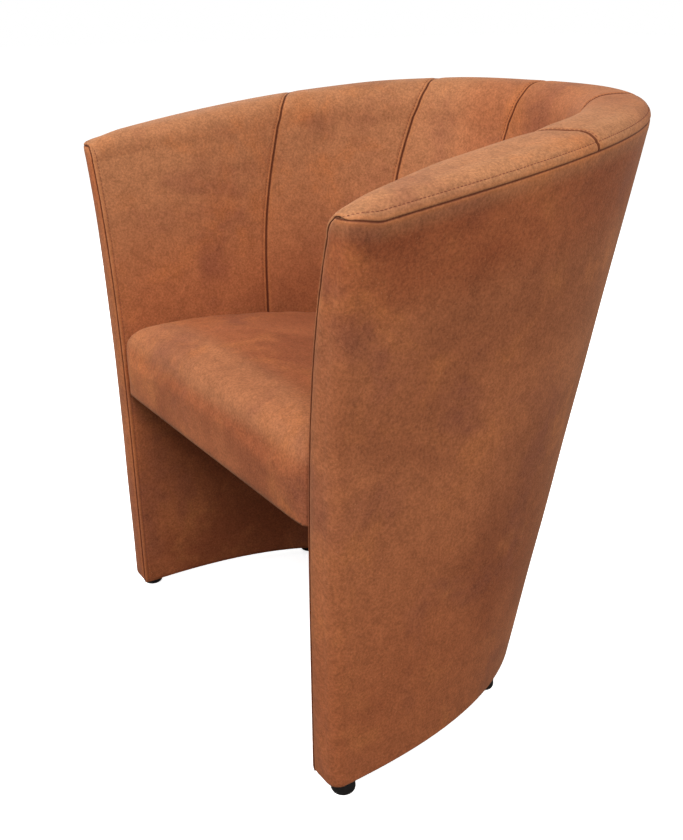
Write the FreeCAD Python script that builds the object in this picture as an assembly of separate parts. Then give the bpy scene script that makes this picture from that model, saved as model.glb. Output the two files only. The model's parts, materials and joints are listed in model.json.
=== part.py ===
import FreeCAD
import Part
import math
import os

# A tub-shaped cocktail chair. A padded wall stands on a horseshoe base and runs from one arm front
# round the back to the other. It flares outwards as it rises, and a box seat is bolted between its sides.
# The chair faces -Y, +Z is up, and every length is in millimetres.

# Driving dimensions of the wall
overall_height = 770.0
arm_height = 700.0
rim_height = 22.0
rim_half_width = 299.5
rim_reach = 437.5
crown_half_width = 375.0
crown_reach = 575.0
crest_rise = 6.0
rim_wall = 48.0
tip_wall = 37.0
side_wall = 96.0
back_wall = 66.0
roll_drop = 18.0
roll_lead = 26.5
back_roll = 65.0
tip_roll = 30.0
tip_fall = 4.5
tip_fall_reach = 50.0
tip_seam_rise = 8.0
tip_seam_reach = 30.0
tip_soft_reach = 80.0
nose_radius = 16.0

# Shape shares: squareness of the plan, how late the arms flare, and where along the wall things start
rim_squareness = 2.42
crown_squareness = 2.62
flare_power = 4.5
flare_start_share = 0.30
roll_squareness = 3.0
tip_squareness = 2.0
side_turn_share = 0.667
nose_drop_share = 0.28
row_shares = (0.45, 0.78)
inner_row_share = 0.55
nose_share = 0.56

# Layers of the wall, from the outside in
cover = 1.8
gap = 0.3
board = 2.5
frame_thickness = 18.0

# Frame members
ring_height = 18.0
rail_height = 18.0
rail_clearance = 4.0
middle_rail_height = 46.0
middle_rail_thickness = 9.0
front_post_width = 26.0

# Seams of the inner covers, as turns from the middle of the back
back_seam_degrees = 22.5
side_seam_degrees = 46.5
quarter_degrees = 90.0
back_span_steps = 4
side_span_steps = 4
arm_span_steps = 4
lining_top = 385.0

# Box seat
seat_bottom = 345.0
seat_peak = 455.0
seat_peak_reach = 100.0
seat_rear_fall = 45.0
seat_fall_power = 1.6
seat_crown = 15.0
seat_front_radius = 32.0
seat_side_gap = 3.0
seat_rises = (0.0, 17.0, 70.0, 95.0, 125.0)
seat_draws = (8.0, 1.5, 0.0, 5.0, 20.0)
seat_side_rail_share = 0.58
seat_rail_height = 28.0
seat_rail_width = 45.0
seat_front_steps = 5
seat_top_steps = 6
seat_arch_steps = 5
block_leg = 62.0
pad_thickness = 4.0
dust_cloth = 0.8

# Zigzag springs
spring_count = 5
spring_pitch = 84.0
spring_wire = 3.6
spring_loops = 9
spring_half_width = 22.0
spring_corner = 5.0
clip_width = 16.0
clip_length = 22.0
clip_wall = 1.4

# Fixings
bolt_radius = 3.0
bolt_head_radius = 6.5
bolt_head_height = 4.0
bolt_play = 0.3
bolt_reaches = (128.0, 205.0)
bolt_height = 360.0
nut_flange_radius = 9.0
nut_flange = 1.2
nut_barrel_radius = 4.2
nut_barrel_length = 7.0
peg_sides = 10

# Feet
foot_radius = 15.0
foot_neck_radius = 12.0
foot_edge = 3.0
foot_recess_radius = 7.0
foot_recess = 12.0
foot_front_degrees = 85.2
foot_rear_degrees = 38.0
foot_inset = 17.0
screw_radius = 2.0
screw_head_radius = 4.5
screw_head_height = 2.5
screw_length = 22.0

# Places that follow from the dimensions above
frame_outer = cover + gap + board + gap
frame_inner = frame_outer + frame_thickness
board_inner = frame_inner + gap + board
rim_top = rim_height + cover + gap
middle_rail_low = bolt_height - middle_rail_height / 2
middle_rail_high = bolt_height + middle_rail_height / 2
ring_top = rim_top + ring_height
whole_turn = 360.0

# Room that cutting shapes reach past the pieces they cut, and counts of the drawn steps
margin = 12.0
cut_rise = 48.0
outer_roll_steps = 3
inner_roll_steps = 5
crest_passes = 9
search_passes = 40


def radians(degrees):
    return math.radians(degrees)


def smooth(share):
    """A soft step from 0 to 1: three times the square less twice the cube."""
    share = min(max(share, 0.0), 1.0)
    return share * share * (3 - 2 * share)


def bow(turn, half_width, reach, squareness):
    """Radius of a superellipse in the direction that a turn from the middle of the back gives."""
    side = abs(math.sin(turn) / half_width) ** squareness
    back = abs(math.cos(turn) / reach) ** squareness
    return (side + back) ** (-1 / squareness)


def quarter_share(turn):
    """How far a turn is from the middle of the back, as a share of a quarter turn."""
    return abs(turn) / radians(quarter_degrees)


def flare(turn, height):
    """How far the plan has gone from rim to crown: evenly at the back, late and fast at the arms."""
    rise = max((height - rim_height) / (overall_height - rim_height), 0.0)
    arm = smooth((quarter_share(turn) - flare_start_share) / (1 - flare_start_share))
    return (1 - arm) * rise + arm * rise ** flare_power


def top_wall(turn):
    """Thickness of the wall at the crown: slim at the arm tips, full at the sides, medium at the back."""
    share = quarter_share(turn)
    if share > side_turn_share:
        return tip_wall + (side_wall - tip_wall) * smooth((1 - share) / (1 - side_turn_share))
    return back_wall + (side_wall - back_wall) * smooth(share / side_turn_share)


def nose(turn, inset):
    """Inset of the outer face, grown near the arm front so that the outer corner is round."""
    bend = nose_radius - inset
    ahead = max(rim_half_width * math.cos(turn) - inset, 0.0)
    if bend <= 0 or ahead >= bend:
        return inset
    rest = bend - ahead
    return inset + bend - math.sqrt(bend * bend - rest * rest)


def outer(turn, height, inset):
    """Radius of the wall's outer face, moved in by an inset."""
    step = nose(turn, inset)
    part = flare(turn, height)
    low = bow(turn, rim_half_width - step, rim_reach - step, rim_squareness)
    high = bow(turn, crown_half_width - step, crown_reach - step, crown_squareness)
    return low + (high - low) * part


def inner(turn, height, inset):
    """Radius of the wall's inner face, moved out into the wall by an inset."""
    part = flare(turn, height)
    low_step = rim_wall - inset
    high_step = top_wall(turn) - inset
    low = bow(turn, rim_half_width - low_step, rim_reach - low_step, rim_squareness)
    high = bow(turn, crown_half_width - high_step, crown_reach - high_step, crown_squareness)
    return low + (high - low) * part


def crest(turn):
    """Height of the crown line, a low arch that falls from the back to the arm tips."""
    height = overall_height
    for _ in range(crest_passes):
        share = outer(turn, height, 0) * math.cos(turn) / crown_reach
        height = arm_height + (overall_height - arm_height) * share + crest_rise * 4 * share * (1 - share)
    return height


def tip_share(turn, reach):
    """One at the arm front, falling softly to nothing at a distance behind it."""
    return 1 - smooth(rim_half_width * math.cos(turn) / reach)


def seam_height(turn):
    """Height of the outer top seam, which runs up to the arm tips."""
    return crest(turn) - roll_drop + tip_seam_rise * tip_share(turn, tip_seam_reach)


half_depth = outer(0, overall_height - roll_drop, 0) / 2


def spot(turn, radius, height):
    """The point at a radius and height in the direction of a turn."""
    return FreeCAD.Vector(radius * math.sin(turn), radius * math.cos(turn) - half_depth, height)


def front_post_start():
    """The turn where the front posts begin, which every layer shares as a station."""
    return math.acos((frame_outer + front_post_width) / rim_half_width)


def turns(front_inset):
    """Stations of a wall layer, from one arm front round the back to the other."""
    back_seam = radians(back_seam_degrees)
    side_seam = radians(side_seam_degrees)
    reaches = [nose_radius, nose_radius * nose_share, frame_outer, cover]
    reaches = [reach for reach in reaches if reach > front_inset + gap] + [front_inset]
    ends = [math.acos(reach / rim_half_width) for reach in reaches]
    half = [back_seam * step / back_span_steps for step in range(back_span_steps)]
    half += [back_seam + (side_seam - back_seam) * step / side_span_steps for step in range(side_span_steps)]
    post = front_post_start()
    half += [side_seam + (post - side_seam) * step / arm_span_steps for step in range(arm_span_steps)]
    half += [post] + ends
    return [-turn for turn in reversed(half[1:])] + half


def between(stations, start, end):
    """The stations from one turn to another, with the two turns themselves."""
    slack = gap / crown_reach
    return [start] + [turn for turn in stations if start + slack < turn < end - slack] + [end]


def rows(turn, low, high, radius, inset):
    """Points up a face. Layers share their rows at the middle rail and at the foot of the top rail."""
    heights = [low] + [height for height in (middle_rail_low, middle_rail_high) if height > low + gap]
    top = seam_height(turn) - rail_clearance - rail_height
    heights += [middle_rail_high + (top - middle_rail_high) * share for share in row_shares]
    heights += [top, high] if high > top else [high]
    return [(radius(turn, height, inset), height) for height in heights]


def inner_rows(turn, low, high, inset):
    """Points up the inner face, as far as the start of the rounded top edge."""
    heights = [low, middle_rail_low, middle_rail_high]
    heights += [middle_rail_high + (high - middle_rail_high) * inner_row_share, high]
    return [(inner(turn, height, inset), height) for height in heights]


def roll(turn, inset):
    """Points over the rounded top edge, from the outer top seam to the inner face."""
    top = crest(turn)
    seam = seam_height(turn)
    fall = tip_fall * tip_share(turn, tip_fall_reach)
    crown = top - inset - fall - nose_drop_share * (nose(turn, inset) - inset)
    crown_radius = outer(turn, seam, 0) + nose(turn, 0) - roll_lead
    squareness = roll_squareness + (tip_squareness - roll_squareness) * tip_share(turn, tip_soft_reach)
    seam_radius = outer(turn, seam, inset)
    low = top - back_roll - (tip_roll - back_roll) * smooth(quarter_share(turn))
    low_radius = inner(turn, low, inset)
    crown_radius = min(crown_radius, seam_radius - gap)
    points = []
    for step in range(outer_roll_steps + 1):
        angle = radians(quarter_degrees) * step / outer_roll_steps
        points.append((crown_radius + (seam_radius - crown_radius) * math.cos(angle),
                       seam + (crown - seam) * math.sin(angle)))
    for step in range(inner_roll_steps - 1, -1, -1):
        angle = radians(quarter_degrees) * step / inner_roll_steps
        across = math.cos(angle) ** (2 / squareness)
        up = math.sin(angle) ** (2 / squareness)
        points.append((crown_radius - (crown_radius - low_radius) * across, low + (crown - low) * up))
    return points


def ring(turn, points):
    """A closed section of the wall in the upright plane of one turn."""
    return [spot(turn, radius, height) for radius, height in points]


def lofted(rings):
    """A solid through a row of closed sections. Each cell between two sections is two flat triangles that
    meet on the diagonal through its upper rear corner, so that nested thin layers keep their gaps."""
    faces = []
    for first, second in zip(rings, rings[1:]):
        for a, b, c, d in zip(first, first[1:] + first[:1], second[1:] + second[:1], second):
            corner = max((a, b, c, d), key=lambda place: place.y + place.z)
            corners = ((a, b, c), (a, c, d)) if corner is a or corner is c else ((a, b, d), (b, c, d))
            faces += [Part.Face(Part.makePolygon(list(three) + [three[0]])) for three in corners]
    for end in (rings[0], rings[-1]):
        faces.append(Part.Face(Part.makePolygon(end + end[:1])))
    shell = Part.makeShell(faces)
    shell.sewShape()
    solid = Part.makeSolid(shell.Shells[0])
    return solid if solid.Volume > 0 else Part.makeSolid(shell.Shells[0].reversed())


def wall_body(inset):
    """The whole padded wall, moved in on every side by an inset."""
    rings = []
    for turn in turns(inset):
        over = roll(turn, inset)
        outside = rows(turn, rim_height + inset, seam_height(turn), outer, inset)
        inside = inner_rows(turn, rim_height + inset, over[-1][1], inset)
        rings.append(ring(turn, outside + over[1:-1] + inside[::-1]))
    return lofted(rings)


def layer(stations, outside, inside, low, high):
    """A curved board or member between two radii, given as functions of turn and height."""
    rings = []
    for turn in stations:
        up = rows(turn, low(turn), high(turn), outside, 0)
        down = rows(turn, low(turn), high(turn), inside, 0)[::-1]
        rings.append(ring(turn, up + down))
    return lofted(rings)


def slab(stations, outside, inside, low, high):
    """A low curved member with one flat row on each side."""
    rings = []
    for turn in stations:
        bottom = low(turn)
        top = high(turn)
        up = [(outside(turn, bottom, 0), bottom), (outside(turn, top, 0), top)]
        down = [(inside(turn, top, 0), top), (inside(turn, bottom, 0), bottom)]
        rings.append(ring(turn, up + down))
    return lofted(rings)


def at_outer(inset):
    """The outer face of the wall, moved in by an inset, as a function of turn and height."""
    return lambda turn, height, extra: outer(turn, height, inset + extra)


def at_inner(inset):
    """The inner face of the wall, moved out into the wall by an inset."""
    return lambda turn, height, extra: inner(turn, height, inset + extra)


def level(height):
    """The same height at every turn."""
    return lambda turn: height


def rail_top(turn):
    return seam_height(turn) - rail_clearance


def rail_bottom(turn):
    return rail_top(turn) - rail_height


def rail_seat(turn):
    return rail_bottom(turn) - gap


def mid_radius(turn, height, extra):
    """Radius in the middle of the wall's thickness."""
    return (outer(turn, height, cover) + inner(turn, height, cover)) / 2


def box(x0, x1, y0, y1, z0, z1):
    return Part.makeBox(x1 - x0, y1 - y0, z1 - z0, FreeCAD.Vector(x0, y0, z0))


def front(reach):
    """Y of a place so far behind the arm fronts."""
    return reach - half_depth


def save(name, shape):
    shape.exportStep("parts/" + name + ".step")
    state = "valid" if shape.isValid() else "NOT VALID"
    print(name, len(shape.Solids), "solids", len(shape.Faces), "faces", state)


def turn_at(reach, height, radius):
    """The turn at which a face of the wall lies so far behind the arm fronts."""
    low = 0.0
    high = radians(quarter_degrees)
    for _ in range(search_passes):
        middle = (low + high) / 2
        if radius(middle, height, 0) * math.cos(middle) > reach:
            low = middle
        else:
            high = middle
    return low


def across(reach, height, radius):
    """Distance from the chair's middle to a face of the wall, so far behind the arm fronts."""
    turn = turn_at(reach, height, radius)
    return radius(turn, height, 0) * math.sin(turn)


def covers():
    """The covers are one skin, cut at its seams: outer cover, six inner panels and a lower lining."""
    skin = wall_body(0).cut(wall_body(cover))
    stations = turns(0)
    wide = [-radians(quarter_degrees)] + stations[1:-1] + [radians(quarter_degrees)]

    def seam_cut(turn):
        return seam_height(turn) + gap

    def over(turn):
        return seam_height(turn) + cut_rise

    above = slab(wide, at_outer(-margin), at_inner(-margin), seam_cut, over)
    inward = layer(turns(cover + gap), mid_radius, at_inner(-margin), level(rim_top),
                   lambda turn: seam_cut(turn) + gap)
    outer_cover = skin.cut(above).cut(inward)
    limits = [radians(degrees) for degrees in (0, back_seam_degrees, side_seam_degrees, quarter_degrees)]
    limits = [-turn for turn in reversed(limits[1:])] + limits
    names = ["left_arm_panel", "left_side_panel", "left_back_panel",
             "right_back_panel", "right_side_panel", "right_arm_panel"]
    slit = gap / rim_reach
    pieces = {}
    for name, start, end in zip(names, limits, limits[1:]):
        first = start + slit if start > limits[0] else start
        last = end - slit if end < limits[-1] else end
        rings = []
        for turn in between(stations, first, last):
            seam = seam_cut(turn) + gap
            top = over(turn)
            up = [(mid_radius(turn, lining_top, 0), lining_top), (mid_radius(turn, seam, 0), seam),
                  (outer(turn, seam, -margin), seam), (outer(turn, top, -margin), top)]
            down = rows(turn, lining_top, top, inner, -margin)[::-1]
            rings.append(ring(turn, up + down))
        pieces[name] = skin.common(lofted(rings))
    tip = seam_cut(radians(quarter_degrees)) + gap
    depth = (cover + gap) * crown_half_width / rim_half_width
    apron = box(-crown_half_width, crown_half_width, front(-margin), front(depth), 0, tip)
    for name in ("left_arm_panel", "right_arm_panel"):
        pieces[name] = pieces[name].cut(apron)
    low = slab(turns(cover + gap), mid_radius, at_inner(-margin), level(rim_top), level(lining_top - gap))
    return outer_cover, pieces, skin.common(low)


def arm_foam():
    """Foam on the inner face, carried over the top rail as far as the outer top seam."""
    inset = cover + gap
    rings = []
    for turn in turns(inset):
        seat = rail_top(turn) + gap
        over = roll(turn, inset)
        inside = inner_rows(turn, rim_top, over[-1][1], inset)[::-1]
        back = rows(turn, rim_top, seat, outer, board_inner + gap)
        rings.append(ring(turn, [(outer(turn, seat, inset), seat)] + over[:-1] + inside + back))
    return lofted(rings)


def seat_plan(inset, low):
    """The seat's plan, which follows the inner face of the wall, drawn up through its levels."""
    stations = turns(nose_radius)
    rings = []
    for rise, draw in zip(seat_rises, seat_draws):
        level_height = seat_bottom + rise if rise else low
        step = seat_side_gap + draw + inset
        half = inner(radians(quarter_degrees), level_height, -step)
        end = math.acos(inset / half)
        places = [turn for turn in stations if abs(turn) < end - gap / half]
        places = [-end] + places + [end]
        rings.append([spot(turn, inner(turn, level_height, -step), level_height) for turn in places])
    return lofted(rings)


def seat_height(reach):
    """Height of the seat's middle line, which falls towards the back."""
    share = max(reach - seat_peak_reach, 0.0) / (rim_reach - seat_peak_reach)
    return seat_peak - seat_rear_fall * share ** seat_fall_power


def seat_arch(inset, low):
    """The seat's side view: a round front edge and a crowned top."""
    half = rim_half_width
    radius = seat_front_radius - inset
    places = []
    for step in range(seat_front_steps):
        angle = radians(quarter_degrees) * step / seat_front_steps
        places.append((inset + radius * (1 - math.cos(angle)), radius * (1 - math.sin(angle))))
    start = inset + radius
    for step in range(seat_top_steps + 1):
        places.append((start + (rim_reach + margin - start) * step / seat_top_steps, 0.0))
    rings = []
    for reach, drop in places:
        top = seat_height(reach) - inset - drop
        arch = []
        for step in range(-seat_arch_steps, seat_arch_steps + 1):
            share = step / seat_arch_steps
            arch.append(FreeCAD.Vector(half * share, front(reach), top - seat_crown * share * share))
        ends = [FreeCAD.Vector(side * half, front(reach), low) for side in (-1, 1)]
        rings.append(ends[:1] + arch + ends[1:])
    return lofted(rings)


def seat_body(inset, low):
    return seat_plan(inset, low).common(seat_arch(inset, low))


def seat_plate(inset, low, high):
    """A flat plate that follows the seat's plan at its underside."""
    draw = seat_draws[0] + inset + seat_side_gap
    half = inner(radians(quarter_degrees), low, -draw)
    end = math.acos(inset / half)
    places = [turn for turn in turns(nose_radius) if abs(turn) < end - gap / half]
    places = [-end] + places + [end]
    points = [spot(turn, inner(turn, low, -draw), low) for turn in places]
    return Part.Face(Part.makePolygon(points + points[:1])).extrude(FreeCAD.Vector(0, 0, high - low))


seat_rail_low = seat_bottom + dust_cloth + gap
seat_rail_top = seat_rail_low + seat_rail_height
spring_low = seat_rail_top + gap
pad_low = spring_low + spring_wire + gap + clip_wall + gap
foam_low = pad_low + pad_thickness + gap


def peg(radius, length, base, axis):
    """A round peg or bore, drawn with flat sides."""
    up = FreeCAD.Vector(0, 0, 1) if abs(axis.z) < 1 else FreeCAD.Vector(1, 0, 0)
    side = axis.cross(up)
    points = []
    for step in range(peg_sides):
        angle = radians(whole_turn) * step / peg_sides
        points.append(base + up * (radius * math.cos(angle)) + side * (radius * math.sin(angle)))
    return Part.Face(Part.makePolygon(points + points[:1])).extrude(axis * length)


def bolts(radius, length_start, length_end):
    """Cylinders on the bolt axes, from one distance to another across the chair, on both sides."""
    made = []
    for side in (-1, 1):
        for reach in bolt_reaches:
            base = FreeCAD.Vector(side * length_start(reach), front(reach), bolt_height)
            length = length_end(reach) - length_start(reach)
            made.append(peg(radius, length, base, FreeCAD.Vector(side, 0, 0)))
    return made


def rail_inner_x(reach):
    """Distance from the chair's middle to the inner face of a side rail of the seat."""
    draw = seat_draws[0] + cover + gap + seat_side_gap + seat_rail_width
    return across(reach + bolt_head_radius, seat_rail_low, at_inner(-draw))


def nut_x(reach):
    """Distance from the chair's middle to the outer face of the middle rail, at its widest under a nut."""
    face = at_outer(frame_inner - middle_rail_thickness)
    return across(reach - nut_flange_radius, bolt_height + nut_flange_radius, face) + gap


def hole_start(reach):
    """The bolt holes are cut from the chair's middle outwards."""
    return 0.0


def hole_end(reach):
    return nut_x(reach) + nut_flange


def drilled(shape, radius):
    for tool in bolts(radius, hole_start, hole_end):
        shape = shape.cut(tool)
    return shape


# Zigzag springs, each a flat wire with chamfered turns, clipped to the front and back rails
def ribbon(points, width):
    """A closed outline round a row of points, with mitred corners."""
    sides = []
    for sign in (1, -1):
        row = []
        for index, point in enumerate(points):
            before = points[max(index - 1, 0)]
            after = points[min(index + 1, len(points) - 1)]
            first = (point - before) if index else (after - point)
            second = (after - point) if index < len(points) - 1 else first
            first = first.normalize()
            second = second.normalize()
            normal_a = FreeCAD.Vector(-first.y, first.x, 0)
            normal_b = FreeCAD.Vector(-second.y, second.x, 0)
            half = (normal_a + normal_b).normalize()
            row.append(point + half * (sign * width / 2 / half.dot(normal_a)))
        sides.append(row)
    outline = sides[0] + list(reversed(sides[1]))
    return Part.Face(Part.makePolygon(outline + outline[:1]))


def spring_ends(x):
    """Front and back ends of a spring, over the middle of the seat's two cross rails."""
    inset = cover + gap + seat_rail_width / 2
    draw = seat_draws[0] + inset + seat_side_gap
    low = 0.0
    high = radians(quarter_degrees)
    for _ in range(search_passes):
        middle = (low + high) / 2
        if inner(middle, seat_rail_low, -draw) * math.sin(middle) < abs(x):
            low = middle
        else:
            high = middle
    return front(inset), front(inner(low, seat_rail_low, -draw) * math.cos(low))


def springs():
    """All zigzag wires, with their clips at both ends."""
    made = []
    clips = []
    for number in range(spring_count):
        x = spring_pitch * (number - (spring_count - 1) / 2)
        start, end = spring_ends(x)
        step = (end - start) / spring_loops
        points = [FreeCAD.Vector(x - spring_half_width, start, spring_low)]
        for loop in range(spring_loops):
            side = spring_half_width if loop % 2 == 0 else -spring_half_width
            y = start + step * loop
            points.append(FreeCAD.Vector(x + side - math.copysign(spring_corner, side), y, spring_low))
            points.append(FreeCAD.Vector(x + side, y + spring_corner, spring_low))
            points.append(FreeCAD.Vector(x + side, y + step - spring_corner, spring_low))
            points.append(FreeCAD.Vector(x + side - math.copysign(spring_corner, side), y + step, spring_low))
        far = -spring_half_width if spring_loops % 2 == 1 else spring_half_width
        points.append(FreeCAD.Vector(x + far, end, spring_low))
        made.append(ribbon(points, spring_wire).extrude(FreeCAD.Vector(0, 0, spring_wire)))
        for y in (start, end):
            clips.append(clip(x, y))
    return made, clips


def clip(x, y):
    """A bent strip over the end bar of a spring."""
    half = clip_width / 2
    reach = clip_length / 2
    room = spring_wire / 2 + gap
    low = seat_rail_top + gap / 2
    roof = spring_low + spring_wire + gap / 2
    block = box(x - half, x + half, y - reach, y + reach, low, low + clip_wall)
    hump = box(x - half, x + half, y - room - clip_wall, y + room + clip_wall, low, roof + clip_wall)
    tunnel = box(x - clip_width, x + clip_width, y - room, y + room, low - clip_wall, roof)
    return block.fuse(hump).cut(tunnel).removeSplitter()


def foot_places():
    """Places of the four feet under the base ring."""
    places = []
    for degrees in (foot_front_degrees, foot_rear_degrees):
        for side in (-1, 1):
            turn = side * radians(degrees)
            places.append(spot(turn, outer(turn, rim_height, foot_inset), 0))
    return places


def foot(place):
    """A round glide with a recess for its screw."""
    top = rim_height - gap
    up = FreeCAD.Vector(0, 0, 1)
    outline = [(0, 0), (foot_radius - foot_edge, 0), (foot_radius, foot_edge),
               (foot_neck_radius, top), (0, top)]
    line = [FreeCAD.Vector(radius, 0, height) for radius, height in outline]
    body = Part.Face(Part.makePolygon(line + line[:1]))
    body = body.revolve(FreeCAD.Vector(0, 0, 0), up, whole_turn)
    body.translate(place)
    recess = peg(foot_recess_radius, foot_recess, place, up)
    return body.cut(recess).cut(peg(screw_radius + gap, rim_height, place, up))


def screw(place):
    """A flat-headed screw up through the foot into the base ring."""
    up = FreeCAD.Vector(0, 0, 1)
    base = foot_recess - gap - screw_head_height
    head = peg(screw_head_radius, screw_head_height, place + up * base, up)
    return head.fuse(peg(screw_radius, screw_length, place + up * base, up))


def main():
    os.makedirs("parts", exist_ok=True)
    quarter = radians(quarter_degrees)
    outer_cover, panels, lining = covers()
    places = foot_places()
    pilot = screw_radius + gap
    shafts = [peg(pilot, ring_top + gap, place, FreeCAD.Vector(0, 0, 1)) for place in places]
    for shaft in shafts:
        outer_cover = outer_cover.cut(shaft)
    save("outer_cover", outer_cover)
    bore = bolt_radius + bolt_play
    for name, panel in panels.items():
        save(name, panel)
    save("lower_lining", drilled(lining, bore))
    save("wall_foam", drilled(arm_foam(), bore))

    inner_turns = turns(frame_outer)
    outside = at_outer(frame_outer)
    inside = at_outer(frame_inner)
    save("outer_board", layer(inner_turns, at_outer(cover + gap), at_outer(cover + gap + board),
                              level(rim_top), rail_top))
    inner_board = layer(inner_turns, at_outer(frame_inner + gap), at_outer(board_inner),
                        level(rim_top), rail_top)
    save("inner_board", drilled(inner_board, bore))
    ring = slab(inner_turns, outside, at_outer(frame_inner - gap), level(rim_top), level(ring_top))
    for shaft in shafts:
        ring = ring.cut(shaft)
    save("base_ring", ring)
    save("top_rail", slab(inner_turns, outside, inside, rail_bottom, rail_top))
    low = middle_rail_low
    high = middle_rail_high
    rail_outside = at_outer(frame_inner - middle_rail_thickness)
    middle_rail = slab(inner_turns, rail_outside, inside, level(low), level(high))
    save("middle_rail", drilled(middle_rail, nut_barrel_radius + gap))
    notch = slab(inner_turns, at_outer(frame_inner - middle_rail_thickness - gap),
                 at_outer(frame_inner + margin), level(low - gap), level(high + gap))
    back = radians(back_seam_degrees)
    side = radians(side_seam_degrees)
    spans = {"front": (front_post_start(), inner_turns[-1]),
             "side": (side - (side - back) / side_span_steps, side),
             "back": (back - back / back_span_steps, back)}
    for name, (start, end) in spans.items():
        for sign, hand in ((-1, "left"), (1, "right")):
            stations = sorted(sign * turn for turn in between(inner_turns, start, end))
            post = layer(stations, outside, inside, level(ring_top + gap), rail_seat).cut(notch)
            save(hand + "_" + name + "_post", post)

    shell = seat_body(0, seat_bottom).cut(seat_body(cover, seat_bottom - margin))
    save("seat_cover", drilled(shell, bore))
    filling = seat_body(cover + gap, seat_bottom - margin)
    floor = box(-rim_half_width, rim_half_width, front(-margin), front(rim_reach),
                seat_bottom - margin * 2, foam_low)
    save("seat_foam", filling.cut(floor))
    ring = seat_plate(cover + gap, seat_rail_low, seat_rail_top)
    ring = drilled(ring.cut(seat_plate(cover + gap + seat_rail_width, seat_rail_low, seat_rail_top)), bore)
    front_end = front(cover + gap + seat_rail_width)
    side_end = front(rim_reach * seat_side_rail_share)
    inner_x = rail_inner_x(0) - gap
    save("seat_front_rail", ring.common(box(-inner_x, inner_x, front(0), front_end, 0, overall_height)))
    for side, hand in ((-1, "left"), (1, "right")):
        spread = sorted((side * (inner_x + gap), side * rim_half_width))
        room = box(spread[0], spread[1], front(0), side_end, 0, overall_height)
        save("seat_" + hand + "_rail", ring.common(room))
    save("seat_back_rail", ring.common(box(-rim_half_width, rim_half_width, side_end + gap, front(rim_reach),
                                           0, overall_height)))

    blocks = []
    for side in (-1, 1):
        x = side * (inner_x - gap)
        y = front_end + gap
        corner = [FreeCAD.Vector(x, y, seat_rail_low), FreeCAD.Vector(x - side * block_leg, y, seat_rail_low),
                  FreeCAD.Vector(x, y + block_leg, seat_rail_low)]
        block = Part.Face(Part.makePolygon(corner + corner[:1]))
        blocks.append(block.extrude(FreeCAD.Vector(0, 0, seat_rail_height)))
    save("corner_blocks", Part.makeCompound(blocks))
    wires, clips = springs()
    save("seat_springs", Part.makeCompound(wires))
    save("spring_clips", Part.makeCompound(clips))
    save("spring_pad", seat_plate(cover + gap, pad_low, pad_low + pad_thickness))
    save("dust_cover", seat_plate(cover + gap, seat_bottom, seat_bottom + dust_cloth))

    heads = bolts(bolt_head_radius, lambda reach: rail_inner_x(reach) - bolt_head_height - gap,
                  lambda reach: rail_inner_x(reach) - gap)
    shanks = bolts(bolt_radius, lambda reach: rail_inner_x(reach) - gap, hole_end)
    save("seat_bolts", Part.makeCompound([head.fuse(shank) for head, shank in zip(heads, shanks)]))
    flanges = bolts(nut_flange_radius, nut_x, hole_end)
    barrels = bolts(nut_barrel_radius, lambda reach: nut_x(reach) - nut_barrel_length, nut_x)
    bores = bolts(bore, hole_start, lambda reach: hole_end(reach) + gap)
    save("tee_nuts", Part.makeCompound([a.fuse(b).cut(c) for a, b, c in zip(flanges, barrels, bores)]))

    save("feet", Part.makeCompound([foot(place) for place in places]))
    save("foot_screws", Part.makeCompound([screw(place) for place in places]))


main()
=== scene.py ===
# %% [markdown]
# # A tub-shaped cocktail chair in mottled suede
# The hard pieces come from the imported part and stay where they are. This lesson covers them with cloth:
# a padded wall that is one smooth function of two parameters, seams that dip into it, thread that follows
# the seams, and a seat cushion that is blown up by a cloth simulation. Lengths are in millimetres until a
# mesh is made.

import json
import math

import bmesh
import bpy
import numpy as np
from mathutils import Matrix, Vector


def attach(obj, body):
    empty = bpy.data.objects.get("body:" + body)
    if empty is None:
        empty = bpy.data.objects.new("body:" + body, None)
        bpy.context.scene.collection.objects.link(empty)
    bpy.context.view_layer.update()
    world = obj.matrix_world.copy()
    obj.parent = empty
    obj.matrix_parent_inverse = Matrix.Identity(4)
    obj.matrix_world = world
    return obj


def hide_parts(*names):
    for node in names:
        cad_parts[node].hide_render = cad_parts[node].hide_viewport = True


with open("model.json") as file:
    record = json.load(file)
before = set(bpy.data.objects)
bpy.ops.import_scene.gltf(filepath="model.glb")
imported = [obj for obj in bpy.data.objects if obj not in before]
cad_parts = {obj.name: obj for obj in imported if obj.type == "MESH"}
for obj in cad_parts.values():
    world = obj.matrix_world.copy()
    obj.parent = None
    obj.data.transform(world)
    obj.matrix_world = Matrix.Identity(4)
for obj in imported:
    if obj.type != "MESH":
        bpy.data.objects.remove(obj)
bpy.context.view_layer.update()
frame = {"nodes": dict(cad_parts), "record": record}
MM = 0.001

# %% [markdown]
# ## The wall as a function
# Seen from above, the rim and the crown of the wall are superellipses. The wall between them is a blend
# of the two: even at the back, late and fast at the arms. A turn is the angle from the middle of the back.

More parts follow.
